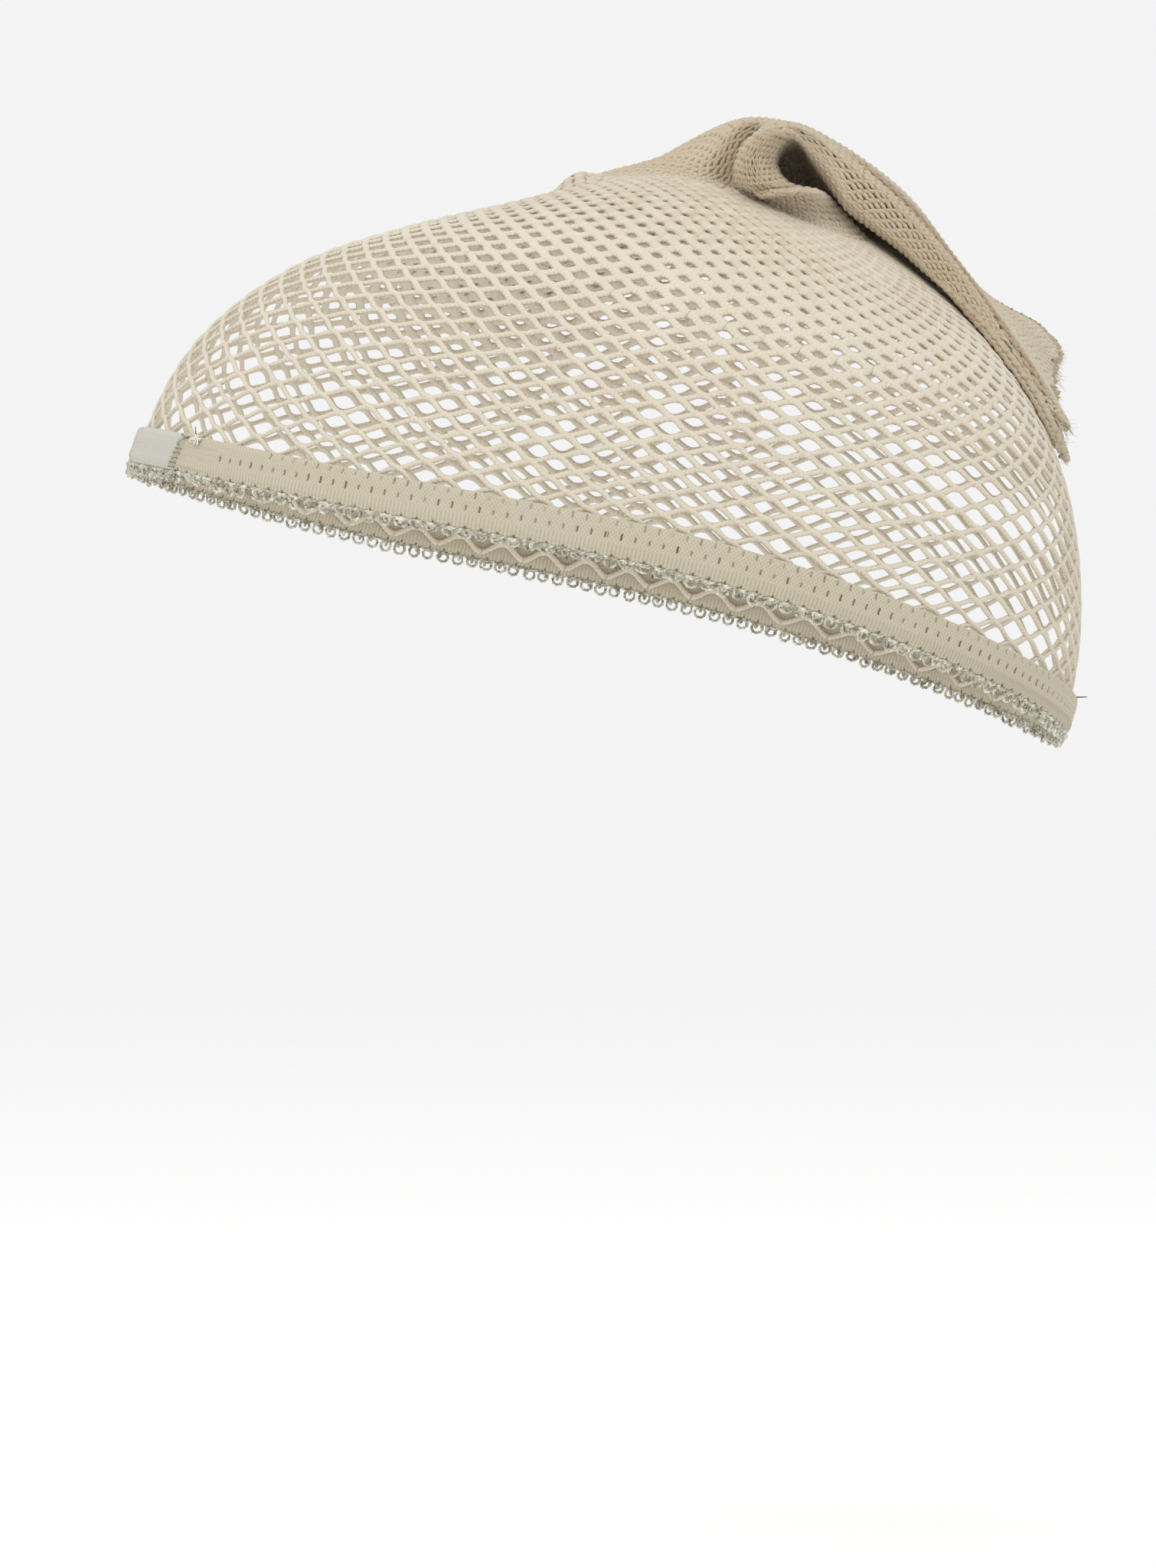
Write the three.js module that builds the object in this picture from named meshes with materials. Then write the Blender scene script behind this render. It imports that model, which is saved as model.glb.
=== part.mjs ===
import * as THREE from 'three';

// Lengths in mm. The front of the cap is -Y, the wearer's left is +X, up is +Z.
// The origin is the middle of the ring that the elastic band makes.

// Cap over the head
const capLength = 194;
const capBreadth = 150;
const crownHeight = 83;
const breadthFullness = 2.3;      // exponent of the side to side section, 2 is an ellipse
const rearBreadthShare = 0.04;    // the cap is this much broader behind, as a share
const cordThickness = 1.2;        // wall of the knitted net

// Ring of the band
const bandDrop = 55;              // front of the band above its back
const bandArch = 6.2;             // sides of the band above the straight line
const bandArchLean = 11.7;        // how far the arch leans behind the ear
const bandHeight = 7.5;
const bandThickness = 1.2;
const lapThickness = 1.1;         // second layer where the band ends overlap
const lapStart = 283;             // turns round the ring, in degrees
const lapEnd = 296;
const picotHeight = 2.2;
const picotThickness = 1;
const picotCount = 176;
const pieceGap = 0.3;

// Open net
const meshColumns = 24;
const openRows = 5;
const openRowHeight = 5.6;        // half of one diamond
const openRowShrink = 0.96;       // each row against the one below
const strandShare = 0.24;         // share of a diamond that its cords take

// Closed crown and tail
const crownRows = 8;
const gatherDepth = 0.35;         // radial gathers at the crown
const neckTwist = 27;             // turn of the neck against the band, in degrees
const tailWidth = 58;
const tailRest = 2.6;             // least height of the tail over the crown
const endWave = 2.2;              // ragged open end of the tail
const creaseSharpness = 0.45;

// Outline of the cap in the mid plane, as a share of an ellipse, by angle up from the back
const outline = [
  { angle: -30, share: 1.031 },
  { angle: -15, share: 1.016 },
  { angle: 0, share: 0.995 },
  { angle: 15, share: 0.993 },
  { angle: 30, share: 0.996 },
  { angle: 45, share: 0.999 },
  { angle: 60, share: 1.011 },
  { angle: 75, share: 1.013 },
  { angle: 90, share: 0.979 },
  { angle: 105, share: 0.949 },
  { angle: 120, share: 0.966 },
  { angle: 135, share: 1.013 },
  { angle: 150, share: 1.041 },
  { angle: 165, share: 1.028 },
  { angle: 180, share: 1.006 },
  { angle: 195, share: 0.99 },
];

// Sections of the gathered neck, the turn and the tail, from the crown to the open end.
// y is a share of half the cap length, z of the crown height, x of the tail width.
const tailSections = [
  { leftX: 0.58, leftY: 0.412, leftZ: 0.868, rightX: -0.46, rightY: -0.05, rightZ: 0.95,
    frontY: -0.031, frontZ: 0.983, backY: 0.5, backZ: 0.887 },
  { leftX: 0.54, leftY: 0.34, leftZ: 0.904, rightX: -0.48, rightY: -0.03, rightZ: 0.99,
    frontY: 0.088, frontZ: 1.012, backY: 0.423, backZ: 0.946 },
  { leftX: 0.52, leftY: 0.284, leftZ: 0.928, rightX: -0.5, rightY: 0.04, rightZ: 1.0,
    frontY: 0.18, frontZ: 1.062, backY: 0.366, backZ: 0.976 },
  { leftX: 0.51, leftY: 0.274, leftZ: 0.988, rightX: -0.48, rightY: 0.1, rightZ: 1.018,
    frontY: 0.24, frontZ: 1.118, backY: 0.35, backZ: 1.006 },
  { leftX: 0.5, leftY: 0.294, leftZ: 1.042, rightX: -0.47, rightY: 0.17, rightZ: 1.065,
    frontY: 0.29, frontZ: 1.138, backY: 0.363, backZ: 1.036 },
  { leftX: 0.48, leftY: 0.34, leftZ: 1.076, rightX: -0.45, rightY: 0.25, rightZ: 1.085,
    frontY: 0.352, frontZ: 1.13, backY: 0.398, backZ: 1.054 },
  { leftX: 0.47, leftY: 0.412, leftZ: 1.075, rightX: -0.45, rightY: 0.35, rightZ: 1.096,
    frontY: 0.425, frontZ: 1.098, backY: 0.442, backZ: 1.012 },
  { leftX: 0.45, leftY: 0.508, leftZ: 0.992, rightX: -0.45, rightY: 0.464, rightZ: 1.024,
    frontY: 0.52, frontZ: 1.048, backY: 0.506, backZ: 0.946 },
  { leftX: 0.41, leftY: 0.618, leftZ: 0.882, rightX: -0.47, rightY: 0.588, rightZ: 0.928,
    frontY: 0.634, frontZ: 0.948, backY: 0.605, backZ: 0.866 },
  { leftX: 0.36, leftY: 0.722, leftZ: 0.752, rightX: -0.5, rightY: 0.715, rightZ: 0.815,
    frontY: 0.73, frontZ: 0.808, backY: 0.706, backZ: 0.748 },
  { leftX: 0.31, leftY: 0.82, leftZ: 0.602, rightX: -0.55, rightY: 0.84, rightZ: 0.717,
    frontY: 0.822, frontZ: 0.685, backY: 0.806, backZ: 0.614 },
  { leftX: 0.26, leftY: 0.902, leftZ: 0.461, rightX: -0.59, rightY: 0.93, rightZ: 0.665,
    frontY: 0.905, frontZ: 0.575, backY: 0.886, backZ: 0.487 },
  { leftX: 0.21, leftY: 0.968, leftZ: 0.34, rightX: -0.6, rightY: 0.985, rightZ: 0.6,
    frontY: 0.955, frontZ: 0.47, backY: 0.955, backZ: 0.4 },
];

const halfLength = capLength / 2;
const halfBreadth = capBreadth / 2;
const degree = Math.PI / 180;
const columns = 2 * meshColumns;

function spline(a, b, c, d, t) {
  return b + 0.5 * t * (c - a + t * (2 * a - 5 * b + 4 * c - d + t * (3 * (b - c) + d - a)));
}

function smooth(t) {
  const u = Math.min(1, Math.max(0, t));
  return u * u * (3 - 2 * u);
}

function outlineShare(angle) {
  const step = outline[1].angle - outline[0].angle;
  const last = outline.length - 1;
  const place = Math.min(last - 1e-6, Math.max(0, (angle - outline[0].angle) / step));
  const i = Math.floor(place);
  const at = (k) => outline[Math.min(last, Math.max(0, k))].share;
  return spline(at(i - 1), at(i), at(i + 1), at(i + 2), place - i);
}

// Distance from the origin to the outside of the net over the head, in a direction
function capRadius(direction) {
  let angle = Math.atan2(direction.z, direction.y) / degree;
  if (angle < -90) angle += 360;
  const c = Math.cos(angle * degree) / halfLength;
  const s = Math.sin(angle * degree) / crownHeight;
  const midRadius = outlineShare(angle) / Math.hypot(c, s);
  const breadth = halfBreadth * (1 + rearBreadthShare * direction.y);
  const side = Math.abs(direction.x) / breadth;
  const mid = Math.hypot(direction.y, direction.z) / midRadius;
  return Math.pow(Math.pow(side, breadthFullness) + Math.pow(mid, breadthFullness), -1 / breadthFullness);
}

function onCap(direction) {
  const d = direction.clone().normalize();
  return d.multiplyScalar(capRadius(d));
}

function bandLevel(turn) {
  const a = turn * degree;
  const tilt = -0.5 * bandDrop * Math.sin(a);
  const arch = bandArch * Math.cos(a) ** 2 + bandArchLean * Math.sin(a) * Math.cos(a) ** 2;
  return tilt + arch;
}

// Middle of the band on the cap, at a turn in degrees: 0 is the wearer's left, 90 the back
function ringPoint(turn) {
  const a = turn * degree;
  const level = bandLevel(turn);
  let slope = level / halfBreadth;
  let point = new THREE.Vector3();
  for (let i = 0; i < 12; i += 1) {
    point = onCap(new THREE.Vector3(Math.cos(a), Math.sin(a), slope));
    slope = level / Math.hypot(point.x, point.y);
  }
  return point;
}

// Axes of the band at a turn: along it, up the cap and out of it
function ringFrame(turn) {
  const middle = ringPoint(turn);
  const along = ringPoint(turn + 1).sub(ringPoint(turn - 1)).normalize();
  const higher = onCap(middle.clone().normalize().add(new THREE.Vector3(0, 0, 0.02)));
  const out = new THREE.Vector3().crossVectors(along, higher.sub(middle)).normalize();
  const up = new THREE.Vector3().crossVectors(out, along).normalize();
  return { middle, along, up, out };
}

function bandPoint(turn, height, outward) {
  const { middle, up, out } = ringFrame(turn);
  const lifted = middle.clone().addScaledVector(up, height);
  return lifted.addScaledVector(out, outward);
}

// One point of a section: turn 0 is its left crease, 90 its back layer, 180 its right crease
function sectionPoint(section, turn, crease) {
  const a = turn * degree;
  const fold = 1 - (2 * Math.abs(((turn % 360) + 360) % 360 - 180)) / 180;
  const across = (1 - crease) * Math.cos(a) - crease * fold;
  const through = Math.sin(a);
  const bend = Math.cos(2 * a);
  const midX = 0.5 * (section.leftX + section.rightX);
  const mix = (left, back, right, front) =>
    0.25 * (left + back + right + front) + 0.5 * (left - right) * across +
    0.5 * (back - front) * through + 0.25 * (left + right - back - front) * bend;
  return new THREE.Vector3(
    tailWidth * mix(section.leftX, midX, section.rightX, midX),
    halfLength * mix(section.leftY, section.backY, section.rightY, section.frontY),
    crownHeight * mix(section.leftZ, section.backZ, section.rightZ, section.frontZ),
  );
}

const neckPoint = (turn) => onCap(sectionPoint(tailSections[0], turn, 0));

// Point of the net over the head. share runs from the band to the gathered neck,
// and turn is that of the neck's sections.
function domePoint(turn, share) {
  const from = ringPoint(turn + neckTwist).normalize();
  const to = neckPoint(turn).normalize();
  const whole = from.angleTo(to);
  const d = from.multiplyScalar(Math.sin((1 - share) * whole)).addScaledVector(to, Math.sin(share * whole));
  return onCap(d);
}

function meridianLength(turn) {
  let total = 0;
  for (let i = 0; i < 12; i += 1) {
    total += domePoint(turn, i / 12).distanceTo(domePoint(turn, (i + 1) / 12));
  }
  return total;
}

// Rows are numbered on from the neck, one for each section of the tail
function tailPoint(turn, row) {
  const last = tailSections.length - 1;
  const place = Math.min(row, last - 1e-6);
  const i = Math.floor(place);
  const at = (k) => {
    if (k <= 0) return domePoint(turn, 1 + 0.085 * k);
    const crease = creaseSharpness * smooth(k / 4);
    const point = sectionPoint(tailSections[Math.min(k, last)], turn, crease);
    const least = capRadius(point.clone().normalize()) + tailRest * smooth((k - 1) / 5);
    const over = point.length() - least;
    const eased = 0.5 * (over + Math.hypot(over, 1.6 * smooth(k / 5)));
    return point.multiplyScalar((least + eased) / point.length());
  };
  const [a, b, c, d] = [at(i - 1), at(i), at(i + 1), at(i + 2)];
  const t = place - i;
  const point = new THREE.Vector3(
    spline(a.x, b.x, c.x, d.x, t), spline(a.y, b.y, c.y, d.y, t), spline(a.z, b.z, c.z, d.z, t));
  const ragged = endWave * smooth(row - last + 1) * Math.cos(5 * turn * degree);
  return point.addScaledVector(c.clone().sub(b).normalize(), ragged);
}

// Point of the net at a level: up to 0 the hem in mm below the ring, then 0 to 1 over the head,
// then on by one for each section of the tail
function netPoint(turn, level) {
  let point;
  if (level < 0) {
    point = bandPoint(turn + neckTwist, level, 0);
  } else if (level <= 1) {
    point = domePoint(turn, level);
  } else {
    point = tailPoint(turn, level - 1);
  }
  return point;
}

function netNormal(turn, level) {
  const stepLevel = level < 0 ? 0.4 : 0.006;
  const end = tailSections.length;
  const low = level < 0 ? level : Math.max(level - stepLevel, 0);
  const high = Math.min(level + stepLevel, level < 0 ? 0 : end);
  const along = netPoint(turn + 0.6, level).sub(netPoint(turn - 0.6, level));
  const up = netPoint(turn, high).sub(netPoint(turn, low));
  return new THREE.Vector3().crossVectors(along, up).normalize();
}

// Two skins of cloth that share their edges: each corner is an outer and an inner point
function cloth() {
  const outer = [];
  const inner = [];
  const faces = [];
  const edges = [];
  const build = {
    corner(outside, inside) {
      outer.push(outside);
      inner.push(inside);
      return outer.length - 1;
    },
    face(a, b, c) {
      faces.push([a, b, c]);
    },
    quad(a, b, c, d) {
      const cut = outer[a].distanceTo(outer[c]) <= outer[b].distanceTo(outer[d]);
      if (cut) {
        faces.push([a, b, c], [a, c, d]);
      } else {
        faces.push([a, b, d], [b, c, d]);
      }
    },
    edge(a, b) {
      edges.push([a, b]);
    },
    geometry() {
      const count = outer.length;
      const places = [];
      for (const p of [...outer, ...inner]) places.push(p.x, p.y, p.z);
      const index = [];
      for (const [a, b, c] of faces) {
        index.push(a, b, c, count + a, count + c, count + b);
      }
      for (const [a, b] of edges) {
        index.push(b, a, count + a, b, count + a, count + b);
      }
      const result = new THREE.BufferGeometry();
      result.setAttribute('position', new THREE.Float32BufferAttribute(places, 3));
      result.setIndex(index);
      result.computeVertexNormals();
      return result;
    },
  };
  return build;
}

function makeNet() {
  const net = cloth();
  const known = new Map();
  const meridian = (meridianLength(0) + meridianLength(90) + meridianLength(180) + meridianLength(270)) / 4;
  const firstRow = (0.5 * bandHeight - 0.8) / meridian;
  const rowLevel = [firstRow];
  for (let j = 0; j <= openRows; j += 1) {
    rowLevel.push(rowLevel[j] + (openRowHeight * openRowShrink ** j) / meridian);
  }
  const corner = (column, level) => {
    const at = ((column % columns) + columns) % columns;
    const key = `${at.toFixed(3)} ${level.toFixed(5)}`;
    if (known.has(key)) return known.get(key);
    const turn = (360 * at) / columns;
    const out = netNormal(turn, level);
    const fullness = smooth((level - rowLevel[openRows]) * 3) * (1 - 0.6 * smooth((level - 1) / 5));
    const gather = gatherDepth * fullness * Math.cos(meshColumns * turn * degree);
    const outside = netPoint(turn, level).addScaledVector(out, gather);
    const inside = outside.clone().addScaledVector(out, -cordThickness);
    known.set(key, net.corner(outside, inside));
    return known.get(key);
  };
  const node = (i, j) => corner(i, rowLevel[j]);

  // Hem behind the band
  const hem = [1.2 - 0.5 * bandHeight, rowLevel[0]];
  for (let i = 0; i < columns; i += 1) {
    net.edge(corner(i, hem[0]), corner(i + 1, hem[0]));
    net.quad(corner(i, hem[0]), corner(i + 1, hem[0]), corner(i + 1, hem[1]), corner(i, hem[1]));
  }

  // Diamonds, each cut through
  const top = openRows + 1;
  for (let j = 1; j <= openRows; j += 1) {
    for (let i = 0; i < columns; i += 1) {
      if ((i + j) % 2 === 0) continue;
      const rim = [node(i, j - 1), node(i + 1, j), node(i, j + 1), node(i - 1, j)];
      const open = 1 - strandShare;
      const lower = rowLevel[j] - open * (rowLevel[j] - rowLevel[j - 1]);
      const upper = rowLevel[j] + open * (rowLevel[j + 1] - rowLevel[j]);
      const hole = [corner(i, lower), corner(i + open, rowLevel[j]), corner(i, upper), corner(i - open, rowLevel[j])];
      for (let k = 0; k < 4; k += 1) {
        const next = (k + 1) % 4;
        net.quad(rim[k], rim[next], hole[next], hole[k]);
        net.edge(hole[next], hole[k]);
      }
    }
  }
  for (let i = 0; i < columns; i += 1) {
    if (i % 2 === 1) {
      net.face(node(i - 1, 0), node(i, 0), node(i, 1));
      net.face(node(i, 0), node(i + 1, 0), node(i, 1));
    }
    if ((i + top) % 2 === 1) {
      net.face(node(i, top - 1), node(i + 1, top), node(i, top));
      net.face(node(i, top - 1), node(i, top), node(i - 1, top));
    }
  }

  // Closed crown, gathered neck and tail
  const levels = [rowLevel[top]];
  for (let k = 1; k <= crownRows; k += 1) {
    levels.push(rowLevel[top] + ((1 - rowLevel[top]) * k) / crownRows);
  }
  for (let k = 1; k < tailSections.length; k += 1) {
    if (k > 1 && k < 7) levels.push(k + 0.5);
    levels.push(k + 1);
  }
  for (let k = 1; k < levels.length; k += 1) {
    for (let i = 0; i < columns; i += 1) {
      net.quad(corner(i, levels[k - 1]), corner(i + 1, levels[k - 1]), corner(i + 1, levels[k]), corner(i, levels[k]));
    }
  }
  const end = levels[levels.length - 1];
  for (let i = 0; i < columns; i += 1) {
    net.edge(corner(i + 1, end), corner(i, end));
  }
  return net.geometry();
}

// Flat strip round the ring. Each station holds a turn, its lower and upper height and its outer face.
function makeStrip(stations, inward) {
  const strip = cloth();
  const rows = stations.map(({ turn, lower, upper, outward }) => [lower, upper].map((height) =>
    strip.corner(bandPoint(turn, height, outward), bandPoint(turn, height, inward))));
  for (let i = 0; i < rows.length; i += 1) {
    const [lowerA, upperA] = rows[i];
    const [lowerB, upperB] = rows[(i + 1) % rows.length];
    strip.quad(lowerA, lowerB, upperB, upperA);
    strip.edge(lowerA, lowerB);
    strip.edge(upperB, upperA);
  }
  return strip.geometry();
}

function makeBand() {
  const turns = [lapStart, lapStart + 0.4, lapEnd - 0.4, lapEnd];
  for (let i = 0; i < 2 * columns; i += 1) {
    const turn = (180 * i) / columns;
    if (turns.every((other) => Math.abs(other - turn) > 0.2)) turns.push(turn);
  }
  turns.sort((a, b) => a - b);
  const stations = turns.map((turn) => {
    const lap = turn > lapStart && turn < lapEnd ? lapThickness : 0;
    return { turn, lower: -0.5 * bandHeight, upper: 0.5 * bandHeight, outward: pieceGap + bandThickness + lap };
  });
  return makeStrip(stations, pieceGap);
}

function makePicots() {
  const stations = [];
  const upper = -0.5 * bandHeight - pieceGap;
  for (let i = 0; i < 2 * picotCount; i += 1) {
    const drop = i % 2 === 0 ? 0.45 * picotHeight : picotHeight;
    stations.push({ turn: (180 * i) / picotCount, lower: upper - drop, upper, outward: pieceGap + picotThickness });
  }
  return makeStrip(stations, pieceGap);
}

const part = new THREE.Group();
part.name = 'wig_cap';

function addPiece(name, geometry, colour, roughness) {
  const material = new THREE.MeshStandardMaterial({ color: colour, roughness, metalness: 0 });
  material.name = name;
  const mesh = new THREE.Mesh(geometry, material);
  mesh.name = name;
  part.add(mesh);
}

addPiece('net_cap', makeNet(), 0xdccfb4, 0.95);
addPiece('elastic_band', makeBand(), 0xd3cbb4, 0.85);
addPiece('picot_edge', makePicots(), 0xc2bca2, 0.6);

export default part;
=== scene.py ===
import bpy
import math
import numpy as np
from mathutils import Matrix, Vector


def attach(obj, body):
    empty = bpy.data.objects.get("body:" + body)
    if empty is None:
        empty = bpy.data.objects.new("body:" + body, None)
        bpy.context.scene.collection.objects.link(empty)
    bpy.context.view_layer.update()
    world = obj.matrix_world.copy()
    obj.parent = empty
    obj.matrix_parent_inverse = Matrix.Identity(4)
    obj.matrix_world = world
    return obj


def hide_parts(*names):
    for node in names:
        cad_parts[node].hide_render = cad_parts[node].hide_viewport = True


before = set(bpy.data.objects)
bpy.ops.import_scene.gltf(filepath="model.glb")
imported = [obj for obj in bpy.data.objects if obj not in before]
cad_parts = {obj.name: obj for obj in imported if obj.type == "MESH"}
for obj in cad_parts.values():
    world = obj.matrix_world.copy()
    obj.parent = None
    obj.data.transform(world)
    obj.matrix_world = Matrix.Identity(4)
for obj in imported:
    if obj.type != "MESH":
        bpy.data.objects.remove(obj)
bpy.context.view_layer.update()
bpy.ops.object.select_all(action="DESELECT")
rng = np.random.default_rng(7)
mm = 0.001  # metres

# Shape of the cap, lengths in mm
capForm = dict(
    length=194, breadth=150, crownHeight=83,        # outside of the net, from the middle of the ring
    fullness=2.3, rearBreadth=0.04,                 # how square it is across, how much wider at the back
    bandDrop=55, bandArch=6.2, bandArchLean=11.7,   # front of the band above its back, sides above that line
    bandHeight=7.5, hemHeight=-2.6,
    neckTwist=27,                                   # turn of the gathered neck against the band, degrees
)
outlineStart, outlineStep = -30, 15                 # degrees, from below the back over the crown
outlineShares = [
    1.031, 1.016, 0.995, 0.993, 0.996, 0.999, 1.011, 1.013,
    0.979, 0.949, 0.966, 1.013, 1.041, 1.028, 1.006, 0.99,
]
tailForm = dict(
    width=58, rest=2.6, restBy=5, restSoft=1.6,     # height off the crown, and the section that reaches it
    crease=0.45, creaseBy=4,                        # sharpness of the folded sides, and where it is reached
    neckStep=0.085,                                 # share of the dome between its end and the row before
)
sectionNames = ("leftX", "leftY", "leftZ", "rightX", "rightY", "rightZ", "frontY", "frontZ", "backY", "backZ")
tailSections = [dict(zip(sectionNames, row)) for row in (
    (0.58, 0.412, 0.868, -0.46, -0.05, 0.95, -0.031, 0.983, 0.5, 0.887),
    (0.54, 0.34, 0.904, -0.48, -0.03, 0.99, 0.088, 1.012, 0.423, 0.946),
    (0.52, 0.284, 0.928, -0.5, 0.04, 1.0, 0.18, 1.062, 0.366, 0.976),
    (0.51, 0.274, 0.988, -0.48, 0.1, 1.018, 0.24, 1.118, 0.35, 1.006),
    (0.5, 0.294, 1.042, -0.47, 0.17, 1.065, 0.29, 1.138, 0.363, 1.036),
    (0.48, 0.34, 1.076, -0.45, 0.25, 1.085, 0.352, 1.13, 0.398, 1.054),
    (0.47, 0.412, 1.075, -0.45, 0.35, 1.096, 0.425, 1.098, 0.442, 1.012),
    (0.45, 0.508, 0.992, -0.45, 0.464, 1.024, 0.52, 1.048, 0.506, 0.946),
    (0.41, 0.618, 0.882, -0.47, 0.588, 0.928, 0.634, 0.948, 0.605, 0.866),
    (0.36, 0.722, 0.752, -0.5, 0.715, 0.815, 0.73, 0.808, 0.706, 0.748),
    (0.31, 0.82, 0.602, -0.55, 0.84, 0.717, 0.822, 0.685, 0.806, 0.614),
    (0.26, 0.902, 0.461, -0.59, 0.93, 0.665, 0.905, 0.575, 0.886, 0.487),
    (0.21, 0.968, 0.34, -0.6, 0.985, 0.6, 0.955, 0.47, 0.955, 0.4),
)]
lastSection = len(tailSections) - 1


def curveThrough(a, b, c, d, t):
    return b + 0.5 * t * (c - a + t * (2 * a - 5 * b + 4 * c - d + t * (3 * (b - c) + d - a)))


def ease(t):
    u = np.clip(t, 0, 1)
    return u * u * (3 - 2 * u)


def bell(x, middle, half):  # smooth bump, 1 in the middle and 0 past half on either side
    return np.cos(np.clip((x - middle) / half, -1, 1) * math.pi / 2) ** 2


def plateau(x, start, end, soft):  # 1 between start and end
    return ease((x - start) / soft) * ease((end - x) / soft)


def unit(v):
    return v / np.linalg.norm(v, axis=-1, keepdims=True)


def capRadius(d):  # distance from the middle of the ring to the outside of the net, by direction
    angle = np.degrees(np.arctan2(d[..., 2], d[..., 1]))
    angle = np.where(angle < -90, angle + 360, angle)
    shares = np.array(outlineShares)
    last = len(shares) - 1
    place = np.clip((angle - outlineStart) / outlineStep, 0, last - 1e-6)
    i = np.floor(place).astype(int)
    nearest = [shares[np.clip(i + k, 0, last)] for k in (-1, 0, 1, 2)]
    share = curveThrough(*nearest, place - i)
    r = np.radians(angle)
    mid = share / np.hypot(np.cos(r) / (capForm["length"] / 2), np.sin(r) / capForm["crownHeight"])
    breadth = capForm["breadth"] / 2 * (1 + capForm["rearBreadth"] * d[..., 1])
    n = capForm["fullness"]
    return ((np.abs(d[..., 0]) / breadth) ** n + (np.hypot(d[..., 1], d[..., 2]) / mid) ** n) ** (-1 / n)


def onCap(v):
    d = unit(v)
    return d * capRadius(d)[..., None]


def ringPoint(turn):  # middle of the band, turn in degrees: 0 on the left, 90 at the back
    r = np.radians(turn)
    lean = capForm["bandArch"] + capForm["bandArchLean"] * np.sin(r)
    level = -0.5 * capForm["bandDrop"] * np.sin(r) + lean * np.cos(r) ** 2
    slope = level / (capForm["breadth"] / 2)
    for _ in range(12):  # enough rounds to settle on the level
        p = onCap(np.stack([np.cos(r), np.sin(r), slope], -1))
        slope = level / np.hypot(p[..., 0], p[..., 1])
    return p


def ringFrame(turn):
    middle = ringPoint(turn)
    along = unit(ringPoint(turn + 1) - ringPoint(turn - 1))
    slightlyUp = np.array([0, 0, 0.02])
    higher = onCap(unit(middle) + slightlyUp)
    out = unit(np.cross(along, higher - middle))
    return middle, along, unit(np.cross(out, along)), out


def bandPoint(turn, height, outward):
    middle, _, up, out = ringFrame(turn)
    return middle + up * np.asarray(height)[..., None] + out * np.asarray(outward)[..., None]


def sectionPoint(s, turn, crease):
    r = np.radians(turn)
    fold = 1 - 2 * np.abs(np.mod(turn, 360) - 180) / 180
    across = (1 - crease) * np.cos(r) - crease * fold
    midX = 0.5 * (s["leftX"] + s["rightX"])

    def mix(left, back, right, front):
        return (0.25 * (left + back + right + front) + 0.5 * (left - right) * across
                + 0.5 * (back - front) * np.sin(r) + 0.25 * (left + right - back - front) * np.cos(2 * r))
    x = tailForm["width"] * mix(s["leftX"], midX, s["rightX"], midX)
    y = capForm["length"] / 2 * mix(s["leftY"], s["backY"], s["rightY"], s["frontY"])
    z = capForm["crownHeight"] * mix(s["leftZ"], s["backZ"], s["rightZ"], s["frontZ"])
    return np.stack([x, y, z], -1)


# The net is one tube: turn goes round it, and its rows run from the hem up to the neck and down the tail
netGrid = dict(turns=416, domeRows=150, rowsPerSection=14)
gridTurns = np.arange(netGrid["turns"]) * 360 / netGrid["turns"]
hemTurns = gridTurns + capForm["neckTwist"]
fromRing = unit(ringPoint(hemTurns))
toNeck = unit(sectionPoint(tailSections[0], gridTurns, 0))
apart = np.arccos(np.clip((fromRing * toNeck).sum(-1), -1, 1))


def domeLine(share):
    d = fromRing * np.sin((1 - share) * apart)[:, None] + toNeck * np.sin(share * apart)[:, None]
    return onCap(d)


def tailControl(k):
    t = tailForm
    if k <= 0:
        return domeLine(1 + t["neckStep"] * k)
    p = sectionPoint(tailSections[min(k, lastSection)], gridTurns, t["crease"] * ease(k / t["creaseBy"]))
    away = np.linalg.norm(p, axis=-1)
    least = capRadius(p / away[:, None]) + t["rest"] * ease((k - 1) / t["restBy"])
    over = away - least
    eased = 0.5 * (over + np.hypot(over, t["restSoft"] * ease(k / t["restBy"])))
    return p * ((least + eased) / away)[:, None]


def tailLine(place):
    i = min(int(place), lastSection - 1)
    a, b, c, d = (tailControl(k) for k in (i - 1, i, i + 1, i + 2))
    return curveThrough(a, b, c, d, place - i)


hemHeights = np.full(netGrid["turns"], capForm["hemHeight"])
tailPlaces = np.linspace(0, lastSection, netGrid["rowsPerSection"] * lastSection + 1)[1:]
lines = [bandPoint(hemTurns, hemHeights, np.zeros(netGrid["turns"]))]
lines += [domeLine(share) for share in np.linspace(0, 1, netGrid["domeRows"])]
lines += [tailLine(place) for place in tailPlaces]
lines = np.array(lines)  # rows, turns, xyz

tailFolds = dict(                                   # depth of each fold, mm
    roll=3.0, inside=10.0, valley=7.0, lip=2.6, pleat=2.4, crease=3.8,
    farRoll=3.2, farLift=2.0, thin=0.6, press=4.4, tip=1.5, tipIn=2.2, tuft=3.4,
    wallOut=7.5, wallDrop=7.0, backDrop=5.5, closeDrop=5.5,
    valleyBack=0.35, valleyDrop=0.3, pressIn=0.6,   # shares of a fold's depth that also go back, down or in
    rest=1.0, restSoft=1.2,                         # least height of the tail off the crown
)
foldTurns = dict(                                   # middle and half width round the tail, degrees
    valley=(-36, 31), farRoll=(0, 45), thin=(60, 45), press=(55, 50), tip=(-5, 45), tipIn=(55, 60),
    tuft=(-98, 16), wall=(34, 42), back=(100, 85), closing=(140, 50), trough=(-36, 30), hidden=(110, 75),
)
foldSides = dict(                                   # start, end and softness round the tail, degrees
    roll=(-14, 66, 18), lip=(-34, 60, 30), pleat=(2, 60, 16),
)
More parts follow.
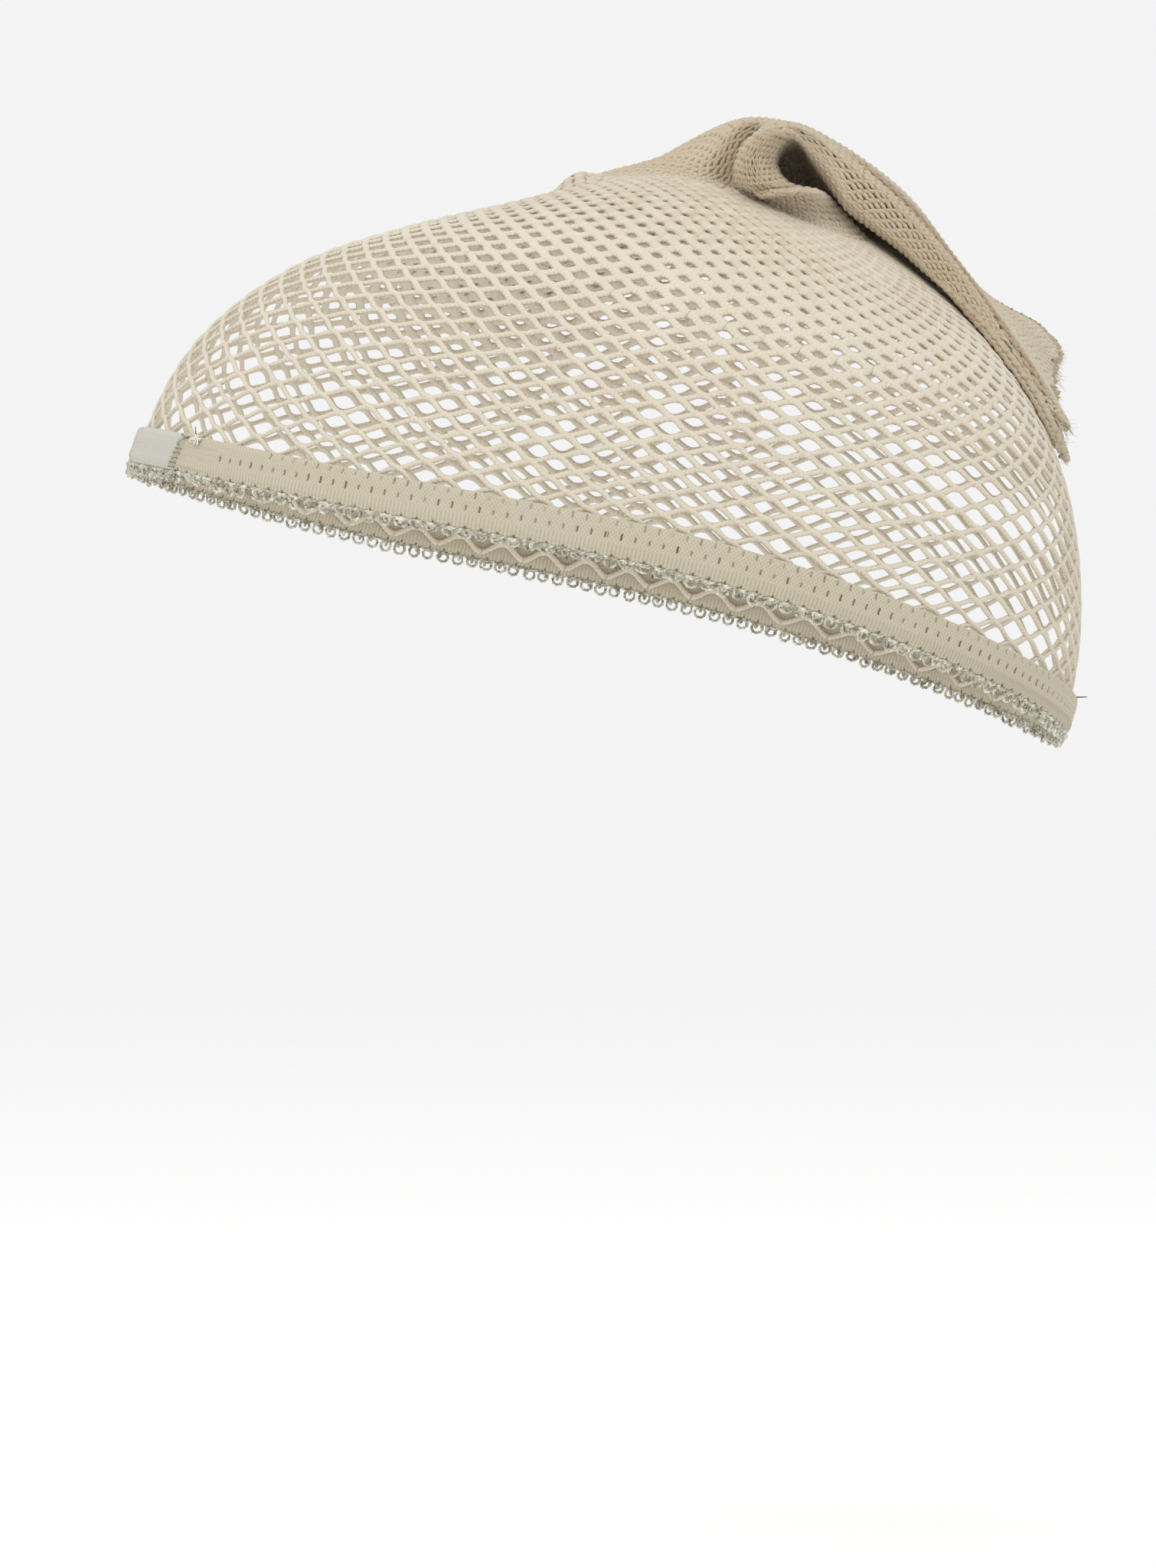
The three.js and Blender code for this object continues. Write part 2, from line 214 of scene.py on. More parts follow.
foldReach = dict(                                   # start, end and softness along the tail, in sections
    valley=(0.8, 5.0, 1.2), farRoll=(0.4, 3.0, 0.8), hidden=(1.5, 9.5, 1.5), crease=(6.6, 11.7, 1.0),
)
foldPeaks = dict(                                   # middle and half length along the tail, in sections
    lip=(0.35, 0.6), pleat=(1.75, 0.4), farLift=(1.2, 1.0), thin=(5, 1), tuft=(0, 0.65),
)
foldGrowth = dict(                                  # sections along the tail, and the share of the depth
    wall=([5.0, 5.6, 6.8, 8, 10, 11, 11.5, 12], [0, 0.15, 1, 1, 1, 0.8, 0.5, 0.2]),
    press=([8, 9, 10, 12], [0, 0.4, 1, 1.2]),
    tip=([11, 12], [0, 1]),
    back=([4.2, 5, 6, 7, 8, 9, 10, 11, 12], [0, 0.3, 0.9, 1, 0.9, 0.75, 0.5, 0.35, 0.2]),
    closing=([3.5, 4.5, 5.5, 6.5, 8, 9], [0, 0.6, 1, 1, 0.5, 0]),
)
creaseLine = dict(                                  # where the crease of the outer side runs
    sections=[6, 9, 10, 11, 12], turns=[-30, -27, -8, 0, 5], half=14,
)


def tailPlace(row):  # section of the tail at a row of the grid, 0 at the neck
    return (row - netGrid["domeRows"]) / netGrid["rowsPerSection"]


def creaseTurn(k):
    return np.interp(k, creaseLine["sections"], creaseLine["turns"])


def foldTail(grid):
    f = tailFolds
    k = tailPlace(np.arange(len(grid)))[:, None]
    turn = np.mod(gridTurns + 180, 360)[None] - 180
    farTurn = np.mod(gridTurns, 360)[None] - 180
    around = lambda name: bell(turn, *foldTurns[name])
    along = lambda name: np.interp(k, *foldGrowth[name])
    peak = lambda name: bell(k, *foldPeaks[name])

    rollAlong = ease((k - 0.6) / 0.9) * ease((6.5 - k) / 1.8)  # grows and fades, in sections
    nearRoll = f["roll"] * plateau(turn, *foldSides["roll"]) * rollAlong
    nearRoll = nearRoll + f["inside"] * ease((turn + 10) / 50) * ease((82 - turn) / 28) * rollAlong
    valley = f["valley"] * around("valley") * plateau(k, *foldReach["valley"])
    lip = f["lip"] * plateau(turn, *foldSides["lip"]) * peak("lip")
    pleat = f["pleat"] * plateau(turn, *foldSides["pleat"]) * peak("pleat")
    farSide = bell(farTurn, *foldTurns["farRoll"])
    farRoll = f["farRoll"] * farSide * plateau(k, *foldReach["farRoll"])
    wall = around("wall") * along("wall")
    press = around("press") * along("press")
    back = around("back") * along("back")
    crease = f["crease"] * bell(turn, creaseTurn(k), creaseLine["half"]) * plateau(k, *foldReach["crease"])

    folded = grid.copy()
    folded[..., 0] += nearRoll - valley - lip - pleat - farRoll + f["wallOut"] * wall
    folded[..., 1] += f["valleyBack"] * valley
    folded[..., 1] -= f["pressIn"] * f["press"] * press
    folded[..., 1] -= f["tipIn"] * around("tipIn") * ease((k - 10) / 2)
    folded[..., 2] += f["farLift"] * farSide * peak("farLift")
    folded[..., 2] += f["thin"] * around("thin") * peak("thin")
    folded[..., 2] -= f["wallDrop"] * wall + f["backDrop"] * back + crease + f["valleyDrop"] * valley
    folded[..., 2] -= f["closeDrop"] * around("closing") * along("closing") + f["press"] * press
    folded[..., 2] += f["tip"] * around("tip") * along("tip")
    folded[..., 2] += f["tuft"] * around("tuft") * peak("tuft")

    away = np.linalg.norm(folded, axis=-1)
    least = capRadius(folded / away[..., None]) + f["rest"]
    over = away - least
    lifted = least + 0.5 * (over + np.hypot(over, f["restSoft"]))
    share = ease((k - 4) / 1.5)
    return folded * (1 + share * (lifted / away - 1))[..., None]


def outwardNormals(grid):
    alongTurn = np.roll(grid, -1, 1) - np.roll(grid, 1, 1)
    return unit(np.cross(alongTurn, np.gradient(grid, axis=0)))


lines = foldTail(lines)
normals = outwardNormals(lines)
gridRows = np.arange(len(lines))
climb = np.concatenate([[0], np.cumsum(np.linalg.norm(np.diff(lines, axis=0), axis=-1).mean(1))])
neckClimb = climb[netGrid["domeRows"]]
print("net surface: %.0f mm from hem to neck, %.0f mm to the open end" % (neckClimb, climb[-1]))


def sample(grid, column, height):  # column in whole turns of 0 to 1, height in mm up the net
    u = np.mod(column, 1) * netGrid["turns"]
    v = np.interp(height, climb, gridRows)
    i, j = np.floor(u).astype(int), np.minimum(np.floor(v).astype(int), len(climb) - 2)
    fu, fv = (u - i)[..., None], (v - j)[..., None]
    i0, i1 = i % netGrid["turns"], (i + 1) % netGrid["turns"]
    low = grid[j, i0] * (1 - fu) + grid[j, i1] * fu
    high = grid[j + 1, i0] * (1 - fu) + grid[j + 1, i1] * fu
    return low * (1 - fv) + high * fv


# Meshes from arrays of rings
def meshFrom(name, points, quads, caps, uvs):
    mesh = bpy.data.meshes.new(name)
    flat = np.concatenate([quads.ravel(), caps.ravel()])
    sizes = np.concatenate([np.full(len(quads), 4), np.full(len(caps), caps.shape[1] if len(caps) else 0)])
    mesh.vertices.add(len(points))
    mesh.vertices.foreach_set("co", (points * mm).ravel())
    mesh.loops.add(len(flat))
    mesh.loops.foreach_set("vertex_index", flat)
    mesh.polygons.add(len(sizes))
    mesh.polygons.foreach_set("loop_start", np.concatenate([[0], np.cumsum(sizes)[:-1]]))
    mesh.polygons.foreach_set("loop_total", sizes)
    mesh.polygons.foreach_set("use_smooth", np.ones(len(sizes), bool))
    layer = mesh.uv_layers.new(name="UVMap")
    layer.data.foreach_set("uv", uvs.ravel())
    mesh.update(calc_edges=True)
    piece = bpy.data.objects.new(name, mesh)
    bpy.context.scene.collection.objects.link(piece)
    return piece


def tubes(name, centre, side, out, halfWidth, halfDepth, run, sides=6):
    # centre, side and out hold (cords, rings, xyz), the rest (cords, rings)
    cords, rings = centre.shape[:2]
    a = np.arange(sides) * 2 * math.pi / sides
    ring = (side[:, :, None] * (np.cos(a)[None, None, :, None] * halfWidth[:, :, None, None])
            + out[:, :, None] * (np.sin(a)[None, None, :, None] * halfDepth[:, :, None, None]))
    points = (centre[:, :, None] + ring).reshape(-1, 3)
    index = np.arange(cords * rings * sides).reshape(cords, rings, sides)
    p, q = index[:, :-1], index[:, 1:]
    quads = np.stack([p, np.roll(p, -1, 2), np.roll(q, -1, 2), q], -1).reshape(-1, 4)
    k = np.arange(sides) / sides
    k0, k1 = np.broadcast_to(k, p.shape), np.broadcast_to(k + 1 / sides, p.shape)
    r0 = np.broadcast_to(run[:, :-1, None], p.shape)
    r1 = np.broadcast_to(run[:, 1:, None], p.shape)
    corners = [np.stack(pair, -1) for pair in ((r0, k0), (r0, k1), (r1, k1), (r1, k0))]
    caps = np.concatenate([index[:, 0, ::-1], index[:, -1]])
    uvs = np.concatenate([np.stack(corners, -2).reshape(-1, 2), np.zeros((caps.size, 2))])
    return meshFrom(name, points, quads, caps, uvs)


def gridPiece(name, points, uvs):  # points (stations, around, 3) closed both ways, uvs one wider each way
    n, m = points.shape[:2]
    a = np.arange(n * m).reshape(n, m)
    b = np.roll(a, -1, 0)
    quads = np.stack([a, b, np.roll(b, -1, 1), np.roll(a, -1, 1)], -1).reshape(-1, 4)
    corner = np.stack([uvs[:-1, :-1], uvs[1:, :-1], uvs[1:, 1:], uvs[:-1, 1:]], 2).reshape(-1, 2)
    return meshFrom(name, points.reshape(-1, 3), quads, np.zeros((0, 3), int), corner)


def runAlong(path):  # length from the start of each cord
    return np.cumsum(np.linalg.norm(np.diff(path, axis=1, prepend=path[:, :1]), axis=-1), 1)


def fitPiece(piece, node):
    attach(piece, "root")
    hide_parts(node)
    print(piece.name, len(piece.data.polygons), "faces")
    return piece


# Knitted net
netKnit = dict(
    columns=52, domeRows=50, tailRows=80,           # meshes round the tube, half rows up to the neck and on
    hem=0.4, openFirst=0.25, tightLast=0.12,        # taller rows near the band, shorter ones near the neck
    cordWidth=1.15, cordDepth=1.0,                  # flattened cord where the net is stretched, mm
    length=5.6, bulk=0.95,                          # cord between joints there, how it thickens when slack
    widest=2.9, mostOfMesh=0.68,
    crownBulk=0.75, crownFrom=0.27, crownOver=0.38,  # fuller cords up the crown, by share of the rows
    lens=0.9, jointSharpness=8, jointSwell=0.2, jointStill=0.6,  # how cords lie together at a joint
    wallDepth=0.6, overUnder=0.1,                   # middle of the cord below the outside of the net
    wander=0.09, unevenWidth=0.09, unevenGap=0.5,
    slackAndShade=0.35, slackFrom=0.6, slackDepth=0.2,      # slackness reached at the neck, which also sets the painted shade of slack net
    dashShade=1.0, dashFrom=26, dashOver=12,           # painted shade in the small gaps of the crown, by row
    stitchShift=0.37,
)
netCuts = {}                                        # flat width and length of the cords laid side by side, m


def rowHeights(rows):
    knit = netKnit
    hem, share = knit["hem"], rows / knit["domeRows"]
    uneven = knit["openFirst"] + knit["tightLast"] * share
    dome = hem + (neckClimb - hem) * share * (1 + (1 - share) * uneven)
    tail = neckClimb + (rows - knit["domeRows"]) * (climb[-1] - neckClimb) / knit["tailRows"]
    return np.where(rows <= knit["domeRows"], dome, tail)


def paint(piece, name, values):
    layer = piece.data.attributes.new(name, "FLOAT", "POINT")
    layer.data.foreach_set("value", values)


def cordPiece(name, place, height, width, depth, sink, slackAndShade, number, gap, lean=0.0, hollowShade=0.0, sides=6):
    outward = unit(sample(normals, place, height))
    path = sample(lines, place, height) - outward * sink[..., None]
    tangent = unit(np.gradient(path, axis=1))
    across = unit(np.cross(outward, tangent))
    run = runAlong(path)
    shifted = run + number * netKnit["stitchShift"]
    piece = tubes(name, path, across, outward, 0.5 * width, 0.5 * depth, shifted, sides)
    paint(piece, "slackAndShade", np.repeat(np.broadcast_to(slackAndShade, height.shape).ravel(), sides))
    aside = np.cos(np.arange(sides) * 2 * math.pi / sides)
    lean = np.broadcast_to(lean, height.shape)[..., None]
    dark = gap[..., None] * aside**2 * np.clip(1 + lean * aside, 0, 1)  # painted shade on the flanks at a gap
    # painted shade in the hollows of the tail
    dark = dark + np.broadcast_to(hollowShade, height.shape)[..., None]
    paint(piece, "gap", np.clip(dark, 0, 1).ravel())
    laid = np.maximum(width, 0.5 * (width + depth)).mean()
    netCuts[name] = (len(run) * laid * mm, run[:, -1].mean() * mm)
    return fitPiece(piece, "net_cap")


def meshWidth(column, height):  # distance between joints of one row
    half = 0.5 / netKnit["columns"]
    across = sample(lines, column + half, height) - sample(lines, column - half, height)
    return np.linalg.norm(across, axis=-1)


def smoothNoise(shape, size):
    noise = rng.normal(0, size, shape)
    return 0.25 * np.roll(noise, 1, 1) + 0.5 * noise + 0.25 * np.roll(noise, -1, 1)


def netPiece(name, firstRow, lastRow, steps):
    # cords that cross, lying side by side for a moment at each joint
    knit = netKnit
    rows = np.linspace(firstRow, lastRow, (lastRow - firstRow) * steps + 1)[None]
    whole = np.floor(rows + 1e-9)
    t = rows - whole
    number = np.arange(2 * knit["columns"])[:, None]
    way = np.where(number % 2 == 0, 1, -1)
    column = (number // 2 + way * 0.5 * rows) / knit["columns"]
    levelRow = whole + t + knit["lens"] * (ease(t) - t)
    height = np.broadcast_to(rowHeights(levelRow), column.shape)
    rise = np.gradient(rowHeights(rows[0]), rows[0])[None]
    mesh = meshWidth(column, height)
    gone = np.hypot(0.5 * mesh, rise)
    share = rows / knit["domeRows"]
    thicker = 1 + knit["crownBulk"] * ease((share - knit["crownFrom"]) / knit["crownOver"])
    width = thicker * knit["cordWidth"] * (knit["length"] / gone) ** knit["bulk"]
    width = np.minimum(width, np.minimum(knit["widest"], knit["mostOfMesh"] * mesh))
    joint = np.abs(np.cos(math.pi * rows)) ** knit["jointSharpness"]
    width = width * (1 + knit["jointSwell"] * joint) * (1 + smoothNoise(column.shape, knit["unevenWidth"]))
    drift = smoothNoise(column.shape, knit["wander"]) * (1 - knit["jointStill"] * joint)
    place = column + drift / np.maximum(mesh, 1) / knit["columns"]
    slackRow = knit["slackFrom"] * knit["domeRows"]
    slackAndShade = knit["slackAndShade"] * ease((rows - slackRow) / (knit["domeRows"] - slackRow))
    depth = knit["cordDepth"] * (1 + knit["slackDepth"] * slackAndShade) * np.ones_like(width)
    sink = knit["wallDepth"] + knit["overUnder"] * way * np.ones_like(width)
    gap = knit["dashShade"] * ease((rows - knit["dashFrom"]) / knit["dashOver"]) * (1 - joint)
    gap = gap * (1 + smoothNoise(column.shape, knit["unevenGap"]))
    return cordPiece(name, place, height, width, depth, sink, slackAndShade, number, gap)


chainKnit = dict(
    coverRows=(0, 20, 34), cover=(0.72, 0.82, 0.88),    # share of its strip that a chain fills, by row
    wideFrom=1.4, wideOver=0.7, wideCover=0.2, troughCover=0.35,
    overlap=0.33, bend=0.955, leastReach=0.12,          # joining with the next chain, sharpness of the zigzag
    depth=1.25, wave=0.16, overUnder=0.05, unevenWidth=0.06,
    fullSlackBy=8, tightFrom=62, tightOver=12, tight=0.35, hiddenLessShade=0.9,
    holeShade=0.85, troughHoles=0.6, troughShade=0.75,       # painted shade in the small gaps and the hollows
    # painted shade beside the crease of the outer side: strength, turns before it and half width
    creaseShade=0.8, creaseBeside=12, creaseHalf=11,
    looseEnd=1.6, endNoise=0.6, endWave=0.4,            # ragged end of the tail, mm
)


def chainPiece(name, firstRow, lastRow, steps, lastPiece=False):
    # slack chains that sway between their neighbours and join them left and right by turns
    knit = chainKnit
    chains = 2 * netKnit["columns"]
    rows = np.linspace(firstRow, lastRow, (lastRow - firstRow) * steps + 1)[None]
    past = rows - netKnit["domeRows"]
    number = np.arange(chains)[:, None]
    height = np.broadcast_to(rowHeights(rows), (chains, rows.shape[1])).copy()
    if lastPiece:
        short = knit["looseEnd"] * np.abs(rng.normal(0, knit["endNoise"], (chains, 1)))
        short = short + knit["endWave"] * np.sin(number * 0.5) + knit["endWave"]
        top = height[:, :1]
        height = top + (height - top) * (1 - short / (height[:, -1:] - top))
    middle = np.broadcast_to((number + 0.5) / chains, height.shape)
    strip = 0.5 * meshWidth(middle, height)

    k = tailPlace(np.interp(height, climb, gridRows))
    turn = np.mod(360 * middle + 180, 360) - 180
    trough = bell(turn, *foldTurns["trough"]) * plateau(k, *foldReach["valley"])
    hidden = bell(turn, *foldTurns["hidden"]) * plateau(k, *foldReach["hidden"])
    cover = np.interp(past, knit["coverRows"], knit["cover"])
    cover = cover + knit["wideCover"] * ease((strip - knit["wideFrom"]) / knit["wideOver"])
    cover = cover + knit["troughCover"] * trough
    width = cover * strip * (1 + smoothNoise(height.shape, knit["unevenWidth"]))
    sway = np.arcsin(knit["bend"] * np.cos(math.pi * (rows + number))) / math.asin(knit["bend"])
    reach = np.maximum(0.5 * strip - knit["overlap"] * width, knit["leastReach"])
    drift = smoothNoise(height.shape, netKnit["wander"])
    place = middle + (sway * reach + drift) / np.maximum(strip, 0.2) / chains
    wave = knit["wave"] * np.cos(2 * math.pi * rows) * np.ones_like(width)
    sink = netKnit["wallDepth"] + wave + knit["overUnder"] * np.where(number % 2 == 0, 1, -1)
    depth = knit["depth"] * netKnit["cordDepth"] * np.ones_like(width)
    # In the chains slackness sets only the colour: painted shade that grows past the neck and lessens near
    # the end and on the tail's hidden side
    slackAndShade = netKnit["slackAndShade"] + (1 - netKnit["slackAndShade"]) * ease(past / knit["fullSlackBy"])
    slackAndShade = slackAndShade - knit["tight"] * ease((past - knit["tightFrom"]) / knit["tightOver"])
    slackAndShade = slackAndShade - knit["hiddenLessShade"] * hidden
    gap = knit["holeShade"] * sway**2 * (1 - knit["troughHoles"] * trough - hidden)
    gap = gap * (1 + smoothNoise(height.shape, netKnit["unevenGap"]))
    beside = bell(turn, creaseTurn(k) - knit["creaseBeside"], knit["creaseHalf"])
    # painted shade in the valley beside the roll and just above the lip of the outer crease
    hollowShade = knit["troughShade"] * trough + knit["creaseShade"] * beside * plateau(k, *foldReach["crease"])
    return cordPiece(name, place, height, width, depth, sink, slackAndShade, number, gap, sway, hollowShade, 5)


netLower = netPiece("net_lower", 0, 24, 6)
netUpper = netPiece("net_upper", 24, 50, 6)
netNeck = chainPiece("net_neck", 50, 88, 4)
netTail = chainPiece("net_tail", 88, 130, 4, lastPiece=True)
netPieces = [netLower, netUpper, netNeck, netTail]

# Woven elastic band
bandWeave = dict(
    thickness=1.2, gap=0.3, lapThickness=1.1,
    lapStart=283, lapEnd=296, lapSlant=0.15, lapSoft=0.7,   # degrees round the ring, slant per mm of height
    faceRows=27, backRows=7, rowCrowding=0.92,              # rows of the mesh, closer at the edges
    roundEdge=0.5, roundLap=0.3, edgeSharpness=7, backCurl=0.35,
    wale=0.78, course=0.95, waleDepth=0.045,
    ribs=0.5, lowRibs=1.7, lowRibsFrom=-2.8, lowRibsTo=-1.3,
    lapRib=0.06, lapPitch=0.9,
    crease=-2.9, creaseDepth=0.22, creaseWidth=0.22,
    eyeletRows=(2.85, 0.35), eyeletPitch=2.72, eyeletDepth=0.4, eyeletWidth=0.24, eyeletHeight=0.5,
    plainFor=(24, 11),                                      # no eyelets for so many mm past the lap
    wrinkle=0.09, wrinkledFor=22,
    picots=176, stitchDepth=0.3, stitchWidth=0.25,
)
ringTurns = np.linspace(0, 360, 1441)
ringSteps = np.linalg.norm(np.diff(ringPoint(ringTurns), axis=0), axis=-1)
ringRun = np.concatenate([[0], np.cumsum(ringSteps)])
ringLength = ringRun[-1]
bandFrames = ringFrame(ringTurns)
picotPitch = ringLength / bandWeave["picots"]


def runAt(turn):  # mm round the middle of the band at a turn in degrees
    return np.interp(turn, ringTurns, ringRun)


def alongRing(run, height, outward):
    place = np.interp(np.mod(run, ringLength), ringRun, np.arange(len(ringRun)))
    i = np.minimum(place.astype(int), len(ringRun) - 2)
    f = (place - i)[..., None]
    middle, _, up, out = (v[i] * (1 - f) + v[i + 1] * f for v in bandFrames)
    return middle + up * np.asarray(height)[..., None] + out * np.asarray(outward)[..., None]


def lapShare(turn, height):  # 1 where the ends of the band overlap
    w = bandWeave
    start, end = w["lapStart"], w["lapEnd"] + w["lapSlant"] * height
    return ease((turn - start) / w["lapSoft"]) * ease((end - turn) / w["lapSoft"])


def bandRelief(run, heights, lap):
    w = bandWeave
    plain = 1 - lap
    rib = np.where(np.arange(len(run))[:, None] % 2 == 0, 1.0, -1.0)
    strength = w["ribs"] + w["lowRibs"] * plateau(heights, w["lowRibsFrom"], w["lowRibsTo"], 0.3)
    relief = w["waleDepth"] * rib * strength * plain
    relief = relief + w["lapRib"] * np.cos(heights * 2 * math.pi / w["lapPitch"]) * lap
    relief = relief - w["creaseDepth"] * np.exp(-((heights - w["crease"]) / w["creaseWidth"]) ** 2) * plain
    beyond = run - float(runAt(w["lapEnd"]))
    for k, row in enumerate(w["eyeletRows"]):
        phase = (np.mod(run / w["eyeletPitch"] + 0.5 * k, 1) - 0.5) * w["eyeletPitch"]
        there = plain * (1 - (beyond > 0) * (beyond < w["plainFor"][k]))
        spot = np.exp(-(phase / w["eyeletWidth"]) ** 2 - ((heights - row) / w["eyeletHeight"]) ** 4)
        relief = relief - w["eyeletDepth"] * spot * there
    nearSeam = ease(beyond / 1.5) * ease((w["wrinkledFor"] - beyond) / 18)
    wrinkles = np.sin(heights * 5.2 + run * 0.35) + 0.7 * np.sin(heights * 2.9 - run * 0.2 + 1)
    relief = relief + w["wrinkle"] * wrinkles * nearSeam
    tick = (np.mod(run / picotPitch, 1) - 0.5) * picotPitch
    stitch = np.exp(-(tick / w["stitchWidth"]) ** 2) * ease((-3.0 - heights) / 0.3)
    return relief - w["stitchDepth"] * stitch


def makeBand():
    w = bandWeave
    stations = 2 * int(round(ringLength / w["wale"]))
    run = np.arange(stations)[:, None] * ringLength / stations
    turn = np.interp(run, ringRun, ringTurns)
    half = 0.5 * capForm["bandHeight"]
    steepest = math.pi / 2 * w["rowCrowding"]
    faceHeights = half * np.sin(np.linspace(-1, 1, w["faceRows"]) * steepest) / math.sin(steepest)
    backHeights = np.linspace(0.97, -0.97, w["backRows"]) * half
    heights = np.concatenate([faceHeights, backHeights])[None]
    onFace = np.arange(heights.shape[1])[None] < len(faceHeights)
    edge = np.abs(heights / half) ** w["edgeSharpness"]
    lap = lapShare(turn, heights)
    wander = 0.12 * np.sin(run * 0.11) + 0.1 * np.sin(run * 0.043 + 1)
    face = w["gap"] + w["thickness"] * (1 - w["roundEdge"] * edge)
    face = face + w["lapThickness"] * lap * (1 - w["roundLap"] * edge) + bandRelief(run, heights, lap)
    back = np.broadcast_to(w["gap"] + w["backCurl"] * edge, face.shape)
    outward = np.where(onFace, face, back) + 0.15 * wander
    height = heights * (1 + 0.012 * wander) + 0.25 * wander
    points = alongRing(np.broadcast_to(run, outward.shape), height, outward)
    u = np.arange(stations + 1)[:, None] * ringLength / stations
    v = np.append(heights[0], heights[0, 0])[None]
    piece = gridPiece("elastic_band_woven", points, np.stack(np.broadcast_arrays(u, v), -1))
    piece.data.flip_normals()
    return fitPiece(piece, "elastic_band")


band = makeBand()

# Picot edge of twisted yarn
picotYarn = dict(
    plyRadius=0.23, plySpread=0.18, twist=1.6,              # two plies wound round each other
    ringWide=1.12, ringHigh=1.08, ringHeight=-4.95,         # middle line of each loop
    lean=0.35, gapAt=297.6, gapWidth=1.6,
    chainHeight=-4.0, chainOut=1.15, chainRadius=0.27, chainSpread=0.2, chainTwist=2.4, chainSteps=8,
    knotRadius=0.26, knotLength=0.55,
)


def yarn(centre, tangent, run, spread, twist):  # two plies round a middle line (cords, rings, 3)
    upward = np.zeros_like(tangent)
    upward[..., 2] = 1
    side = unit(np.cross(tangent, upward) + 1e-6)
    out = unit(np.cross(side, tangent))
    plies = []
    for start in (0, math.pi):
        a = (run * 2 * math.pi / twist + start)[..., None]
        offset = side * np.cos(a) * spread + out * np.sin(a) * spread
        plies.append((centre + offset, side, out))
    return [np.concatenate(v) for v in zip(*plies)]


def makeLoops(places, turns):
    y = picotYarn
    n = len(places)
    around = np.linspace(-0.3, 2 * math.pi + 0.3, 19)
    wide = y["ringWide"] * (1 + rng.normal(0, 0.06, (n, 1)))
    high = y["ringHigh"] * (1 + rng.normal(0, 0.07, (n, 1)))
    slow = 0.5 * np.sin(places * 0.035 + 0.6) + 0.35 * np.sin(places * 0.081 + 2)
    sideways = bell(np.mod(turns + 180, 360) - 180, -15, 60)
    lean = (y["lean"] + 0.35 * slow + 0.45 * sideways + rng.normal(0, 0.12, n))[:, None]
    roll = rng.normal(0, 0.14, (n, 1))
    x = wide * np.sin(around)[None]
    down = high * (np.cos(around)[None] - 1) - 0.05
    depth = 0.16 * np.sin(around * 0.5)[None] * np.sign(rng.random((n, 1)) - 0.5)
    x, down = x * np.cos(roll) - down * np.sin(roll) * 0.6, down * np.cos(roll) + x * np.sin(roll) * 0.6
    height = y["ringHeight"] + y["ringHigh"] + down * np.cos(lean)
    outward = 0.85 + depth + down * np.sin(lean) * 0.55
    centre = alongRing(places[:, None] + x, height, outward)
    run = runAlong(centre) + rng.random((n, 1)) * 3
    c, s, o = yarn(centre, unit(np.gradient(centre, axis=1)), run, y["plySpread"], y["twist"])
    radius = np.full(c.shape[:2], y["plyRadius"])
    return tubes("picot_loops", c, s, o, radius, radius, np.concatenate([run, run]))


def makeChain():  # along the lower edge of the band
    y = picotYarn
    steps = bandWeave["picots"] * y["chainSteps"]
    line = np.arange(steps + 1) * ringLength / steps
    phase = np.mod(line / picotPitch, 1)
    joint = np.abs(np.cos(math.pi * phase)) ** 6
    height = y["chainHeight"] + 0.12 * np.cos(2 * math.pi * phase)
    centre = alongRing(line, height, y["chainOut"] - 0.55 * joint).reshape(1, -1, 3)
    tangent = unit(np.gradient(centre, axis=1))
    c, s, o = yarn(centre, tangent, line[None], y["chainSpread"], y["chainTwist"])
    radius = np.stack([y["chainRadius"] * (1 - 0.45 * joint)] * 2)
    return tubes("picot_chain", c, s, o, radius, radius, np.stack([line, line]))


def crossFrame(centre, aside):
    tangent = unit(np.gradient(centre, axis=1))
    side = unit(np.cross(tangent, np.array(aside)))
    return side, unit(np.cross(side, tangent))


def makeKnots(places):  # small knots inside the loops
    y = picotYarn
    n = len(places)
    t = np.linspace(0, 1, 7)[None]
    x = y["knotLength"] * (t - 0.5) + 0.35 * rng.normal(0, 1, (n, 1))
    height = y["ringHeight"] + 0.9 - 0.9 * np.sin(math.pi * t) + rng.normal(0, 0.1, (n, 1))
    outward = 0.75 + 0.25 * np.cos(math.pi * t) + rng.normal(0, 0.08, (n, 1))
    centre = alongRing(places[:, None] + x, height, outward)
    side, out = crossFrame(centre, (0.3, 0.4, 1.0))
    radius = np.full(centre.shape[:2], y["knotRadius"])
    return tubes("picot_knots", centre, side, out, radius, radius, np.broadcast_to(t * 2, radius.shape))


def makePicots():
    places = (np.arange(bandWeave["picots"]) + 0.5) * picotPitch
    turns = np.interp(places, ringRun, ringTurns)
    keep = np.abs(turns - picotYarn["gapAt"]) > picotYarn["gapWidth"] / 2
    places, turns = places[keep], turns[keep]
    pieces = [makeLoops(places, turns), makeChain(), makeKnots(places)]
    return [fitPiece(piece, "picot_edge") for piece in pieces]


picotPieces = makePicots()

# Stitches of the lap, thread ends and loose fibres
smallThreads = dict(
    stitches=7, stitchLength=1.05, stitchRadius=0.11,
    knotRun=3.6, knotHeight=3.1, knotSize=(1.7, 0.95, 0.5), knotRadius=0.16,
    endRadius=0.17,
    fibres=420, fibreLength=2.2, fibreRadius=0.05,
)


def seamRun(height):
    return runAt(bandWeave["lapEnd"] + bandWeave["lapSlant"] * height)


def threadPiece(name, centre, radius, sides, node):
    side, out = crossFrame(centre, (0.31, 0.42, 0.85))
    run = runAlong(centre) + np.arange(len(centre))[:, None] * 0.7
    return fitPiece(tubes(name, centre, side, out, radius, radius, run, sides), node)


